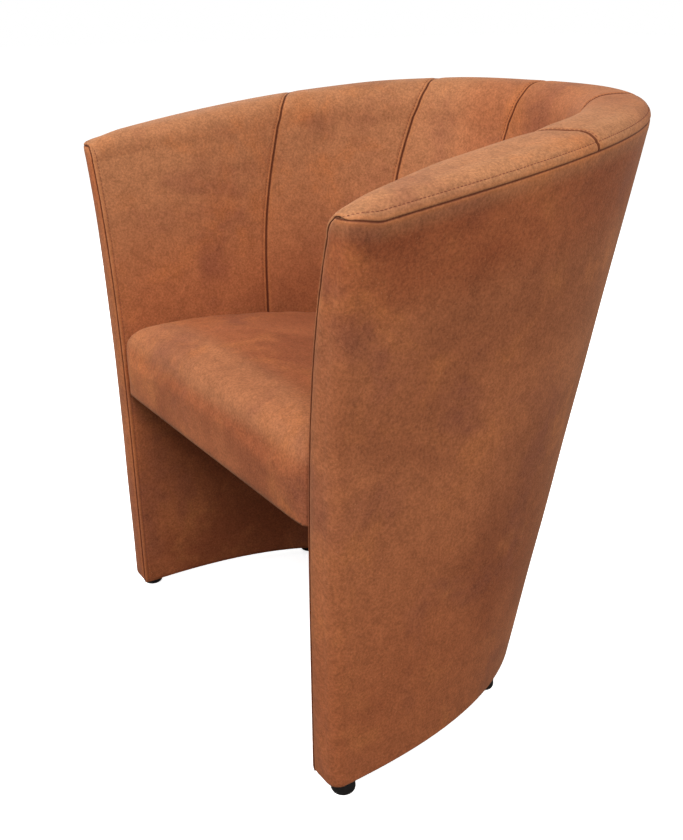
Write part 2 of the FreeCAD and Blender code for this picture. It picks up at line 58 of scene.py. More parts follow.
# %% Sizes of the wall
# Heights, the two superellipses, wall thicknesses, top edge, arm tips, arm front, flare and lining.
HEIGHT, ARM_HEIGHT, RIM = 770.0, 700.0, 22.0
RIM_HALF, RIM_REACH, RIM_SQUARE = 299.5, 437.5, 2.42
CROWN_HALF, CROWN_REACH, CROWN_SQUARE = 375.0, 575.0, 2.62
RIM_WALL, TIP_WALL, SIDE_WALL, BACK_WALL = 48.0, 37.0, 96.0, 66.0
ROLL_DROP, ROLL_LEAD, BACK_ROLL, TIP_ROLL, LEAST_ROLL = 18.0, 26.5, 65.0, 30.0, 0.3
TIP_FALL, FALL_REACH, SEAM_RISE, SEAM_REACH = 4.5, 50.0, 8.0, 30.0
ROLL_SQUARE, TIP_SQUARE, SOFT_REACH = 3.0, 2.0, 80.0
NOSE, NOSE_DROP, CREST_RISE = 16.0, 0.28, 6.0
FLARE_POWER, FLARE_START, SIDE_TURN = 4.5, 0.30, 0.667
LINING_TOP, HEM, LINING_LEAN, LINING_CURL = 385.0, 18.0, 2.0, 6.0
QUARTER = math.pi / 2
CREST_PASSES = 9


def smooth(share):
    """A soft step from 0 to 1: three times the square less twice the cube."""
    share = np.clip(share, 0, 1)
    return share * share * (3 - 2 * share)


def bow(turn, half, reach, square):
    """Radius of a superellipse with a half width at the side and a reach at the back."""
    side = np.abs(np.sin(turn) / half) ** square
    back = np.abs(np.cos(turn) / reach) ** square
    return (side + back) ** (-1 / square)


def flare(turn, height):
    """Share of the way from rim to crown: linear at the back, a high power of the rise at the arms."""
    rise = np.clip((height - RIM) / (HEIGHT - RIM), 0, None)
    arm = smooth((np.abs(turn) / QUARTER - FLARE_START) / (1 - FLARE_START))
    return (1 - arm) * rise + arm * rise**FLARE_POWER


def top_wall(turn):
    """Thickness at the crown: slim at the tips, full at the sides, medium at the back."""
    share = np.abs(turn) / QUARTER
    tip = TIP_WALL + (SIDE_WALL - TIP_WALL) * smooth((1 - share) / (1 - SIDE_TURN))
    back = BACK_WALL + (SIDE_WALL - BACK_WALL) * smooth(share / SIDE_TURN)
    return np.where(share > SIDE_TURN, tip, back)


def nose(turn, inset):
    """Inset of the outer face, grown along a quarter circle near the arm front."""
    bend = NOSE - inset
    ahead = np.clip(RIM_HALF * np.cos(turn) - inset, 0, None)
    rest = np.clip(bend - ahead, 0, None)
    return inset + bend - np.sqrt(np.clip(bend * bend - rest * rest, 0, None))


def outer(turn, height, inset=0.0):
    """Radius of the outer face: the blend of rim and crown, both moved in by the inset."""
    step = nose(turn, inset)
    low = bow(turn, RIM_HALF - step, RIM_REACH - step, RIM_SQUARE)
    high = bow(turn, CROWN_HALF - step, CROWN_REACH - step, CROWN_SQUARE)
    return low + (high - low) * flare(turn, height)


def inner(turn, height, inset=0.0):
    """Radius of the inner face: the same blend, one wall thickness further in."""
    low_step = RIM_WALL - inset
    high_step = top_wall(turn) - inset
    low = bow(turn, RIM_HALF - low_step, RIM_REACH - low_step, RIM_SQUARE)
    high = bow(turn, CROWN_HALF - high_step, CROWN_REACH - high_step, CROWN_SQUARE)
    return low + (high - low) * flare(turn, height)


def crest(turn):
    """Height of the crown line: a low arch over the reach, found by going round a few times."""
    height = np.full_like(turn, HEIGHT)
    for _ in range(CREST_PASSES):
        share = outer(turn, height) * np.cos(turn) / CROWN_REACH
        height = ARM_HEIGHT + (HEIGHT - ARM_HEIGHT) * share + CREST_RISE * 4 * share * (1 - share)
    return height


def tip_share(turn, reach):
    """One at the arm front, falling softly to nothing behind it."""
    return 1 - smooth(RIM_HALF * np.cos(turn) / reach)


def seam_height(turn):
    """Height of the outer top seam: a steady drop below the crown line, less near the arm tips."""
    return crest(turn) - ROLL_DROP + SEAM_RISE * tip_share(turn, SEAM_REACH)


HALF_DEPTH = float(outer(np.zeros(1), np.full(1, HEIGHT - ROLL_DROP))[0]) / 2


def place(turn, radius, height):
    """Polar to plain coordinates, with the middle of the depth at zero."""
    turn, radius, height = np.broadcast_arrays(turn, radius, height)
    return np.stack([radius * np.sin(turn), radius * np.cos(turn) - HALF_DEPTH, height], -1)


# %% [markdown]
# ## Over the top edge
# The top edge is a quarter ellipse on the outside and a squarer quarter on the inside. One parameter,
# the climb, runs 0 to 1 over the first, 1 to 2 over the second and 2 to 3 down the inner face.


# %% The top edge and inner face
def climb_points(turn, climb, foot):
    """Radius and height along the section, from the outer seam over the edge down to the foot."""
    top = crest(turn)
    seam = seam_height(turn)
    crown = top - TIP_FALL * tip_share(turn, FALL_REACH) - NOSE_DROP * nose(turn, 0.0)
    square = ROLL_SQUARE + (TIP_SQUARE - ROLL_SQUARE) * tip_share(turn, SOFT_REACH)
    seam_radius = outer(turn, seam)
    crown_radius = np.minimum(seam_radius - ROLL_LEAD + nose(turn, 0.0), seam_radius - LEAST_ROLL)
    low = top - BACK_ROLL - (TIP_ROLL - BACK_ROLL) * smooth(np.abs(turn) / QUARTER)
    low_radius = inner(turn, low)
    first = np.clip(climb, 0, 1) * QUARTER
    radius_a = crown_radius + (seam_radius - crown_radius) * np.cos(first)
    height_a = seam + (crown - seam) * np.sin(first)
    second = (1 - np.clip(climb - 1, 0, 1)) * QUARTER
    radius_b = crown_radius - (crown_radius - low_radius) * np.cos(second) ** (2 / square)
    height_b = low + (crown - low) * np.sin(second) ** (2 / square)
    down = np.clip(climb - 2, 0, 1)
    height_c = low + (foot - low) * down
    radius_c = inner(turn, height_c)
    radius = np.where(climb < 1, radius_a, np.where(climb < 2, radius_b, radius_c))
    height = np.where(climb < 1, height_a, np.where(climb < 2, height_b, height_c))
    return radius, height


# %% [markdown]
# ## From grids to meshes
# Every cloth piece is a grid of points. Its normals come from the cross product of the two grid
# directions, and distances to its edges are sums of steps along rows and columns. With both, a seam is
# one line: push the points inwards by a bell-shaped function of the distance.


# %% Grid tools
WAVES, WELD = 7, 0.02


def grid_normals(points, outward):
    """Unit normals: the cross product of the two gradients, turned outwards."""
    across = np.gradient(points, axis=1)
    along = np.gradient(points, axis=0)
    normal = np.cross(across, along)
    length = np.linalg.norm(normal, axis=-1, keepdims=True)
    return outward * normal / np.maximum(length, 1e-9)


def run_length(points, axis):
    """Distance walked along one grid direction, as a running sum of step lengths."""
    steps = np.linalg.norm(np.diff(points, axis=axis), axis=-1)
    pad = [(0, 0), (0, 0)]
    pad[axis] = (1, 0)
    return np.cumsum(np.pad(steps, pad), axis=axis)


def bell(distance, width):
    """A bell curve: e to the minus square of distance over width."""
    return np.exp(-((distance / width) ** 2))


def ripple(points, size, seed):
    """Soft random waves: a sum of sines of the place in random directions."""
    rng = np.random.default_rng(seed)
    total = np.zeros(points.shape[:-1])
    for _ in range(WAVES):
        direction = rng.normal(size=3)
        direction /= np.linalg.norm(direction)
        pitch = 2 * math.pi / size / rng.uniform(0.6, 1.5)
        start = rng.uniform(0, 6.3)
        total += np.sin(points @ direction * pitch + start)
    return total / WAVES


def add(name, data):
    """A new object in the scene."""
    made = bpy.data.objects.new(name, data)
    bpy.context.scene.collection.objects.link(made)
    return made


def smooth_mesh(name, points, faces):
    """A mesh from lists of points in millimetres and of faces, shaded smooth."""
    mesh = bpy.data.meshes.new(name)
    mesh.from_pydata((np.concatenate(points) * MM).tolist(), [], faces)
    mesh.polygons.foreach_set("use_smooth", np.ones(len(mesh.polygons), bool))
    return mesh


def mesh_from_grids(name, grids, maps=None, flip=False):
    """One object from several grids of points. Points closer than the weld distance become one."""
    verts, faces, base = [], [], 0
    for grid in grids:
        rows, cols = grid.shape[:2]
        index = np.arange(rows * cols).reshape(rows, cols) + base
        quad = np.stack([index[:-1, :-1], index[:-1, 1:], index[1:, 1:], index[1:, :-1]], -1)
        quad = quad.reshape(-1, 4)
        faces.append(quad[:, ::-1] if flip else quad)
        verts.append(grid.reshape(-1, 3))
        base += rows * cols
    faces = np.concatenate(faces)
    mesh = smooth_mesh(name, verts, faces.tolist())
    if maps is not None:
        data = np.concatenate([part.reshape(-1, 4) for part in maps])[faces.ravel()] * MM
        for title, part in (("cloth", data[:, :2]), ("edges", data[:, 2:4])):
            layer = mesh.uv_layers.new(name=title)
            layer.data.foreach_set("uv", part.astype(np.float32).ravel())
    work = bmesh.new()
    work.from_mesh(mesh)
    bmesh.ops.remove_doubles(work, verts=work.verts, dist=WELD * MM)
    bmesh.ops.dissolve_degenerate(work, edges=work.edges, dist=WELD * MM)
    work.to_mesh(mesh)
    work.free()
    return add(name, mesh)


def dense_ends(count, crowd):
    """Shares from 0 to 1 that crowd at both ends."""
    share = np.linspace(0, 1, count)
    return share - crowd * np.sin(2 * math.pi * share) / (2 * math.pi)


# %% [markdown]
# ## Seams on the wall
# Five seams part the six inner panels. Each is a line on the wall, given by its turn at a few climbs.
# They lean: low down they stand apart evenly, towards the top edge they swing to the chair's left, and
# over the edge they swing back.


# %% Seam lines
SEAM_CLIMBS = [0.0, 0.5, 1.0, 1.5, 1.9, 2.05, 2.2, 2.4, 2.6, 3.0]
SEAM_DEGREES = {
    -2: [-46.8, -45.6, -43.2, -42.5, -42.7, -43.7, -44.8, -45.8, -46.0, -45.6],
    -1: [-21.5, -20.5, -19.2, -18.4, -19.2, -20.6, -21.7, -22.3, -22.5, -22.5],
    0: [0.2, 0.6, 1.1, 1.2, -0.2, -1.7, -2.3, -2.4, -2.0, -1.2],
    1: [22.0, 21.5, 20.9, 21.6, 22.2, 22.4, 22.5, 22.5, 22.5, 22.5],
    2: [47.6, 47.2, 46.1, 43.6, 43.2, 43.9, 44.8, 45.8, 46.0, 46.0],
}
SEAM_PASSES = 12


def seam_turn(number, side, climb):
    """Turn of a seam along the climb, counted away from the middle on the given side, in radians."""
    fine = np.linspace(0, 3, 121)
    turns = np.interp(fine, SEAM_CLIMBS, SEAM_DEGREES[number * side])
    for _ in range(SEAM_PASSES):
        turns[1:-1] = (turns[:-2] + turns[1:-1] * 2 + turns[2:]) / 4
    return np.radians(side * np.interp(climb, fine, turns))


TOP_STITCH, SIDE_STITCH, FRONT_STITCH = 10.0, 5.5, 7.5
FOLD_DIP, FOLD_WIDTH, SHOULDER_DIP, SHOULDER_WIDTH = 1.3, 1.3, 0.9, 6.0
STITCH_DIP, STITCH_WIDTH, PUCKER, PUCKER_SIZE = 0.8, 1.5, 0.35, 17.0


def seam_dip(distance):
    """Depth of a sewn seam: a sharp fold and a soft shoulder."""
    return FOLD_DIP * bell(distance, FOLD_WIDTH) + SHOULDER_DIP * bell(distance, SHOULDER_WIDTH)


def stitch_dip(distance, line):
    """Thread pulls the cloth in along a line beside the seam."""
    return STITCH_DIP * bell(distance - line, STITCH_WIDTH)


def puckers(points, seed, *seams):
    """Short waves close to the seams. Each seam gives its distance and their reach."""
    return PUCKER * ripple(points, PUCKER_SIZE, seed) * sum(bell(gap, reach) for gap, reach in seams)


def slack(points, size, seed, *edges):
    """Long soft waves that fade towards edges. Each edge gives its distance and its fade."""
    waves = ripple(points, size, seed)
    for gap, fade in edges:
        waves = waves * smooth(gap / fade)
    return waves


# %% [markdown]
# ## Inner panels
# A panel is the wall's inner half between two seams, from the top seam over the edge and down behind the
# seat. Padding lifts it along its normals, least at its seams. The two arm panels have no second seam:
# they end at the arm front, where the cloth goes round the edge and a few millimetres onto the front.

# %% Inner panels
COVER_LIFT, PUFF, PUFF_FADE, CROWN_SINK, SINK_WIDTH, SHADE = 1.3, 3.0, 24.0, 1.2, 0.35, 0.9
EDGE, WRAP, WRAP_ROWS, WRAP_START, WRAP_BLEND, TIP_SAG = 3.0, 4.0, 6, 1.12, 0.3, 0.15
PANEL_COLUMNS, PANEL_CROWD, ARM_COLUMNS, ARM_CROWD = 72, 0.75, 84, 0.8
PANEL_SEED, SLACK_SEED = 11, 50
climbs = np.concatenate([
    np.linspace(0, 0.55, 16)[:-1], np.linspace(0.55, 1, 8)[:-1], 1 + np.linspace(0, 1, 30)[:-1],
    2 + np.linspace(0, 1, 84),
])
nose_turns = np.arccos(NOSE * (1 - np.sin(np.linspace(0, QUARTER, 14))) / RIM_HALF)


def front_share(climb):
    """How far the inner cover wraps onto the arm front: not at the crown, fully a little below."""
    return smooth((climb - WRAP_START) / WRAP_BLEND)


def wrapped(points, side, share):
    """Carries an inner face round the edge of the arm front and a strip further onto it."""
    strip = np.linspace(0, 1, WRAP_ROWS)[1:] * WRAP
    rows, cols = points.shape[:2]
    base = np.concatenate([points, np.repeat(points[:, -1:], len(strip), 1)], 1)
    reach = base[..., 1] + HALF_DEPTH
    run = np.concatenate([-reach[:, :cols], np.broadcast_to(strip, (rows, len(strip)))], 1)
    near = (np.arange(base.shape[1]) > cols // 2) & (run > -EDGE)
    angle = np.clip((run + EDGE) / (2 * EDGE), 0, 1) * QUARTER
    over = EDGE * (1 - np.cos(angle)) + np.clip(run - EDGE, 0, None)
    back = EDGE * (1 - np.sin(angle)) * share[:, None] + np.clip(reach, 0, None) * (1 - share[:, None])
    moved = base.copy()
    moved[..., 0] += np.where(near, side * over * share[:, None], 0)
    moved[..., 1] = np.where(near, back - HALF_DEPTH, base[..., 1])
    moved[..., 2] -= TIP_SAG * np.clip(run, 0, None) * (1 - share[:, None])
    return moved


def panel_grid(low_seam, high_seam, side):
    """Points of one inner panel between two seams, or between a seam and the arm front."""
    climb = climbs[:, None]
    if high_seam < 3:
        share = dense_ends(PANEL_COLUMNS, PANEL_CROWD)[None, :]
        turn = seam_turn(low_seam, side, climb) * (1 - share) + seam_turn(high_seam, side, climb) * share
    else:
        share = np.linspace(0, 1, ARM_COLUMNS)
        share = np.where(share < 0.5, dense_ends(ARM_COLUMNS, ARM_CROWD), share)[None, :]
        start = seam_turn(low_seam, side, climb)
        body = start + (nose_turns[0] - start) * share
        tip = np.broadcast_to(nose_turns[1:], (len(climbs), len(nose_turns) - 1))
        turn = np.concatenate([body, tip], 1)
    radius, height = climb_points(turn, np.broadcast_to(climb, turn.shape), LINING_TOP)
    points = place(turn * side, radius, height)
    return points if high_seam < 3 else wrapped(points, side, front_share(climbs))


def panel(name, low_seam, high_seam, side, seed):
    """One inner panel: a smooth grid, moved along its normals by padding, waves and seams."""
    points = panel_grid(low_seam, high_seam, side)
    normal = grid_normals(points, -side)
    across = run_length(points, 1)
    along = run_length(points, 0)
    left, right = across, across[:, -1:] - across
    near = np.minimum(left, right)
    at_front = high_seam == 3
    inside = smooth((climbs[:, None] - 1.1) / 0.8)
    fade = (1 - bell(left, PUFF_FADE)) * smooth(right / 40) if at_front else 1 - bell(near, PUFF_FADE)
    lift = COVER_LIFT + PUFF * fade * inside - CROWN_SINK * bell(climbs[:, None] - 1.0, SINK_WIDTH)
    lift = lift + puckers(points, seed, (near, 9.0), (along, 8.0))
    lift = lift + 0.9 * slack(points, 150.0, seed + SLACK_SEED, (near, 40), (along, 40))
    lift = lift - seam_dip(np.minimum(near, along)) - stitch_dip(along, TOP_STITCH)
    shaded = near
    if side < 0:
        lift = lift - stitch_dip(left, SIDE_STITCH)
    if at_front:
        lift = lift - stitch_dip(right, FRONT_STITCH)
    elif side > 0:
        lift = lift - stitch_dip(right, SIDE_STITCH)
        # On the stitched side the painted seam shade reaches a little further.
        shaded = np.minimum(left, right - SHADE)
    moved = points + normal * lift[..., None]
    return {"name": name, "points": moved, "normal": grid_normals(moved, -side),
            "maps": np.stack([across, along, shaded, along], -1), "left": left, "right": right,
            "along": along, "side": side, "open": at_front}


# Mesh, its two seams, side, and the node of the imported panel.
PANELS = [
    ("left_arm_cloth", 2, 3, -1, "left_arm_panel"),
    ("left_side_cloth", 1, 2, -1, "left_side_panel"),
    ("left_back_cloth", 0, 1, -1, "left_back_panel"),
    ("right_back_cloth", 0, 1, 1, "right_back_panel"),
    ("right_side_cloth", 1, 2, 1, "right_side_panel"),
    ("right_arm_cloth", 2, 3, 1, "right_arm_panel"),
]
made_panels = [panel(name, low, high, side, PANEL_SEED + number)
               for number, (name, low, high, side, _) in enumerate(PANELS)]

# %% [markdown]
# ## The front of the arm
# Above the seam, the top band closes the arm tip with a small cap: each point of the last section goes
# straight down to the seam line, bulged forward a little.


# %% Caps
CAP_ROWS, CAP_BULGE, CAP_EDGE = 10, 1.2, 4


def band_cap(data):
    """The tip's cap above the seam: the last column of the band, lowered to the seam line."""
    edge = data["points"][:, -1]
    seam = edge[0, 2]
    rows = edge[edge[:, 2] >= seam - 0.05]
    share = np.linspace(0, 1, CAP_ROWS)[:, None]
    cap = np.repeat(rows[None], CAP_ROWS, 0)
    cap[..., 2] = rows[None, :, 2] * (1 - share) + seam * share
    cap[..., 1] -= CAP_BULGE * np.sin(QUARTER * share)
    return cap


def build_panel(data):
    """Mesh of a panel, with its cap if it ends at an arm front."""
    grids, maps = [data["points"]], [data["maps"]]
    flip = data["side"] < 0
    if data["open"]:
        cap = band_cap(data)
        grids.append(cap)
        height = data["points"][0, -1, 2]
        drop = np.abs(cap[..., 2] - height)
        maps.append(np.stack([cap[..., 0], cap[..., 2], drop + CAP_EDGE, drop], -1))
    return mesh_from_grids(data["name"], grids, maps, flip=not flip)


panel_objects = [build_panel(data) for data in made_panels]

# %% [markdown]
# ## Outer cover
# One piece of cloth goes round the whole outside and wraps each arm front as far as the inner edge.
# Its grid therefore has columns for the turns and, at both ends, columns across the arm front.
# Its hem hangs a little below the boards in it, as in the photo.


# %% Outer cover
# Far is where no seam is felt.
HEM_BEND, BEND_ROWS, UNDER_ROWS = 5.5, 10, 12
COVER_COLUMNS, FRONT_COLUMNS, FRONT_BULGE = 150, 26, 2.4
COVER_SEED, COVER_SLACK_SEED, COVER_STEP, FAR = 5, 9, 0.5, 60.0


def whole_turn(count):
    """Turns from one arm front to the other, closer together round both front edges."""
    half = np.concatenate([np.linspace(0, 1, count)[:-1] * nose_turns[0], nose_turns])
    return np.concatenate([-half[:0:-1], half])


def front_inside(height):
    """Distance from the middle to the seam on the arm front."""
    climb = np.linspace(1, 3, 400)
    radius, level = climb_points(np.full_like(climb, QUARTER), climb, HEM)
    return np.interp(height, level[::-1], (radius + WRAP * front_share(climb))[::-1])


def outer_cover_grids():
    """Points of the outer side with both arm fronts, and of the hem below."""
    angle = np.linspace(0, QUARTER, BEND_ROWS)
    low_heights = HEM + HEM_BEND * (1 - np.cos(angle))
    low_insets = HEM_BEND * (1 - np.sin(angle))
    rise = np.concatenate([np.linspace(0, 0.93, 92)[1:], 0.93 + 0.07 * np.linspace(0, 1, 36)[1:] ** 0.8])
    turn = whole_turn(COVER_COLUMNS)
    seam = seam_height(turn)
    rows = []
    for height, inset in zip(low_heights, low_insets):
        end = math.acos(inset / RIM_HALF) / QUARTER
        rows.append(place(turn * end, outer(turn * end, height, inset), height))
    start = HEM + HEM_BEND
    for share in rise:
        height = start + (seam - start) * share
        rows.append(place(turn, outer(turn, height), height))
    side = np.stack(rows)
    caps = []
    for end in (0, -1):
        edge = side[:, end]
        inside = front_inside(edge[:, 2])
        share = np.linspace(0, 1, FRONT_COLUMNS)[None, :]
        cap = np.repeat(edge[:, None], FRONT_COLUMNS, 1)
        cap[..., 0] = (np.abs(edge[:, :1]) * (1 - share) + inside[:, None] * share) * np.sign(edge[:, :1])
        cap[..., 1] -= FRONT_BULGE * np.sin(math.pi * share) * smooth((edge[:, 2:3] - HEM) / 40)
        caps.append(cap)
    grid = np.concatenate([caps[0][:, :0:-1], side, caps[1][:, 1:]], 1)
    low_turn = turn * math.acos(HEM_BEND / RIM_HALF) / QUARTER
    share = np.linspace(0, 1, UNDER_ROWS)[:, None]
    outside, inside = outer(low_turn, HEM, HEM_BEND), inner(low_turn, HEM, LINING_LEAN)
    under = place(low_turn[None], outside[None] * (1 - share) + inside[None] * share, HEM)
    return grid, under[::-1]


cover_grid, under_grid = outer_cover_grids()
cover_normal = grid_normals(cover_grid, -1.0)
top_gap = run_length(cover_grid[::-1], 0)[::-1]
girth = run_length(cover_grid, 1)
edge_gap = np.minimum(girth, girth[:, -1:] - girth)
near_edge = np.minimum(top_gap, edge_gap)
cover_lift = COVER_LIFT + puckers(cover_grid, COVER_SEED, (top_gap, 8.0), (edge_gap, 7.0))
cover_lift += slack(cover_grid, 170.0, COVER_SLACK_SEED, (near_edge, 60), (cover_grid[..., 2] - HEM, 60))
cover_lift -= seam_dip(top_gap) + seam_dip(edge_gap) + COVER_STEP * smooth(near_edge / 20)
cover_moved = cover_grid + cover_normal * cover_lift[..., None]
cover_maps = np.stack([girth, cover_grid[..., 2], edge_gap, top_gap], -1)
under_far = np.full(under_grid.shape[:2], FAR)
under_maps = np.stack([under_grid[..., 0], under_grid[..., 1], under_far, under_far], -1)
outer_cloth = mesh_from_grids(
    "outer_cloth", [cover_moved, under_grid], [cover_maps, under_maps], flip=True)

# %% [markdown]
# ## Lower lining
# Below the seat the inside of the tub is one plain piece of cloth.

# %% Lower lining
LINING_COLUMNS, LINING_SEED, LINING_SLACK = 110, 31, 1.2
lining_turn = whole_turn(LINING_COLUMNS)[None, :]
curl_top = HEM + LINING_CURL
lining_height = np.concatenate([
    np.linspace(LINING_TOP, curl_top, 70), curl_top - LINING_CURL * np.linspace(0, 1, 8)[1:]])[:, None]
lining_inset = LINING_LEAN * smooth((curl_top - lining_height) / LINING_CURL)
lining_grid = place(lining_turn, inner(lining_turn, lining_height, lining_inset), lining_height)
whole = np.ones(len(lining_grid))
lining_grid = wrapped(lining_grid, 1, whole)
lining_grid = wrapped(lining_grid[:, ::-1], -1, whole)[:, ::-1]
lining_across = run_length(lining_grid, 1)
lining_edge = np.minimum(lining_across, lining_across[:, -1:] - lining_across)
lining_low = lining_grid[..., 2] - HEM
lining_slack = slack(lining_grid, 140.0, LINING_SEED, (lining_edge, 40), (lining_low, 40))
lining_lift = COVER_LIFT + LINING_SLACK * lining_slack
lining_lift -= seam_dip(lining_edge) + stitch_dip(lining_edge, FRONT_STITCH)
lining_moved = lining_grid + grid_normals(lining_grid, -1.0) * lining_lift[..., None]
lining_far = np.full(lining_edge.shape, FAR)
lining_maps = np.stack([lining_across, lining_grid[..., 2], lining_edge, lining_far], -1)
lining_cloth = mesh_from_grids("lining_cloth", [lining_moved], [lining_maps], flip=True)

# %% [markdown]
# ## Thread
# A topstitch is a row of short capsules. Each line is a list of points on the cloth at one distance from
# a seam. Walking along it in equal steps gives the stitches.

# %% Thread
STITCH, STITCH_GAP, STITCH_END, THREAD, TUBE_SIDES = 3.3, 1.3, 1.5, 0.42, 8
STITCH_SWELL = [(0.0, 0.25), (0.12, 0.8), (0.35, 1.0), (0.65, 1.0), (0.88, 0.8), (1.0, 0.25)]
SEAM_START, FRONT_START = 12, 1.5


def line_at(values, wanted, *grids):
    """Reads the grids in each row where a rising value reaches the wanted one."""
    low = np.clip((values < wanted).sum(1) - 1, 0, values.shape[1] - 2)
    rows = np.arange(len(values))
    a, b = values[rows, low], values[rows, low + 1]
    share = np.clip((wanted - a) / np.maximum(b - a, 1e-9), 0, 1)[:, None]
    return [grid[rows, low] * (1 - share) + grid[rows, low + 1] * share for grid in grids]


def capsules(name, lines):
    """All stitches as one mesh. A stitch is a tube of few sides that swells in the middle."""
    around = np.linspace(0, 2 * math.pi, TUBE_SIDES, endpoint=False)
    share, swell = np.array(STITCH_SWELL).T
    verts, faces, base = [], [], 0
    for points, normals in lines:
        walked = np.concatenate([[0], np.cumsum(np.linalg.norm(np.diff(points, axis=0), axis=1))])
        starts = np.arange(STITCH_END, walked[-1] - STITCH - STITCH_END, STITCH + STITCH_GAP)
        if not len(starts):
            continue

        def at(distance, data):
            return np.stack([np.interp(distance, walked, data[:, axis]) for axis in range(3)], -1)

        first, second = at(starts, points), at(starts + STITCH, points)
        up = at(starts + STITCH / 2, normals)
        up /= np.linalg.norm(up, axis=1, keepdims=True)
        along = second - first
        side = np.cross(up, along)
        side /= np.linalg.norm(side, axis=1, keepdims=True)
        centre = first[:, None] + along[:, None] * share[None, :, None]
        lift = up[:, None] * (THREAD * (swell * 0.75 - 0.15))[None, :, None]
        offset = (np.cos(around)[None, None, :, None] * side[:, None, None]
                  + np.sin(around)[None, None, :, None] * up[:, None, None] * 0.8)
        ring = (centre + lift)[:, :, None] + offset * (THREAD * swell)[None, :, None, None]
        count, rings, sides = ring.shape[:3]
        index = np.arange(count * rings * sides).reshape(count, rings, sides) + base
        following = np.roll(index, -1, 2)
        quad = np.stack([index[:, :-1], following[:, :-1], following[:, 1:], index[:, 1:]], -1)
        faces += quad.reshape(-1, 4).tolist()
        faces += index[:, 0, ::-1].tolist() + index[:, -1].tolist()
        verts.append(ring.reshape(-1, 3))
        base += count * rings * sides
    return add(name, smooth_mesh(name, verts, faces))


def side_line(gap, wanted, grids, first_row, from_right):
    """A line of stitches down a cloth, at one distance from its left or right edge."""
    order = slice(None, None, -1 if from_right else 1)
    line = line_at(gap[:, order], wanted, *[grid[:, order] for grid in grids])
    return [part[first_row:] for part in line]


thread_lines = []
for data in made_panels:
    grids = (data["points"], data["normal"])
    thread_lines.append(line_at(data["along"].T, TOP_STITCH, *[grid.transpose(1, 0, 2) for grid in grids]))
    if data["side"] < 0:
        thread_lines.append(side_line(data["left"], SIDE_STITCH, grids, SEAM_START, False))
    elif not data["open"]:
        thread_lines.append(side_line(data["right"], SIDE_STITCH, grids, SEAM_START, True))
    if data["open"]:
        first_row = int((climbs < FRONT_START).sum())
        thread_lines.append(side_line(data["right"], FRONT_STITCH, grids, first_row, True))
grids = (lining_moved, grid_normals(lining_moved, -1.0))
thread_lines.append(side_line(lining_across, FRONT_STITCH, grids, 0, False))
thread_lines.append(side_line(lining_across[:, -1:] - lining_across, FRONT_STITCH, grids, 0, True))
thread = capsules("thread", thread_lines)

# %% [markdown]
# ## Seat cushion
# The seat starts as closed loops: an outline that follows the wall with a straight front, moved inwards
# step by step while the height climbs over a round edge onto a crowned top. Then a cloth simulation with
# a little air pressure inside fills it out.

# %% Seat
# The form of the top, the heights of the loops, and how the lower edge is drawn in and folded.
SEAT_LOW, SEAT_PEAK, PEAK_REACH, REAR_FALL, SEAT_CROWN = 345.0, 455.0, 100.0, 45.0, 15.0
SEAT_LEVELS, ROUND_LEVEL, SEAT_ROUND = (325.0, 345.0, 355.0, 370.0, 385.0, 400.0), 410.0, 30.0
SEAT_GAP, SEAT_MIDDLE, FALL_POWER, FRONT_DRAW, FOLD, FOLD_RISE = 0.3, 200.0, 1.6, 1.0, 4.0, 0.95
LOW_DRAW, DRAW_TOP, DRAW_FADE = 1.5, 365, 20
SEAT_POINTS, LOOP_PASSES, ROUND_STEPS, TOP_STEPS = 400, 6, 9, 22
# Metres of a voxel and the smoothing. Then, for the simulation, the height that is held, the inner
# pressure, the frames and the longest way of a point.
VOXEL, RELAX, RELAX_PASSES = 0.006, 0.5, 6
HELD, PRESSURE, FRAMES, LONGEST_WAY = 4.0, 3.0, 16, 4.0
CLOTH = {
    "quality": 6, "mass": 0.3, "tension_stiffness": 18, "compression_stiffness": 18,
    "shear_stiffness": 8, "bending_stiffness": 1.2, "use_pressure": True,
    "uniform_pressure_force": PRESSURE, "vertex_group_mass": "held",
}


def seat_top(x, y):
    """Height of the seat: highest near the front, falling to the back and to both sides."""
    reach = y + HALF_DEPTH
    share = np.clip(reach - PEAK_REACH, 0, None) / (RIM_REACH - PEAK_REACH)
    return SEAT_PEAK - REAR_FALL * share**FALL_POWER - SEAT_CROWN * (x / RIM_HALF) ** 2


def seat_loop(height, inset, front):
    """The seat's outline at one height, moved in at the sides and the front, in equal steps."""
    turn = np.linspace(0, 1, SEAT_POINTS) * QUARTER
    line = place(turn, inner(turn, np.full_like(turn, height), -(SEAT_GAP + inset)), height)
    line = line[line[:, 1] > front - HALF_DEPTH + 0.01]
    right = np.concatenate([line, [[line[-1, 0], front - HALF_DEPTH, height]]])
    left = right[::-1] * np.array([-1, 1, 1])
    loop = np.concatenate([left[:-1], right, left[:1]])
    walked = np.concatenate([[0], np.cumsum(np.linalg.norm(np.diff(loop, axis=0), axis=1))])
    steps = np.linspace(0, walked[-1], SEAT_POINTS, endpoint=False)
    even = np.stack([np.interp(steps, walked, loop[:, axis]) for axis in range(3)], -1)
    for _ in range(LOOP_PASSES):
        even = 0.5 * even + 0.25 * (np.roll(even, 1, 0) + np.roll(even, -1, 0))
    return even


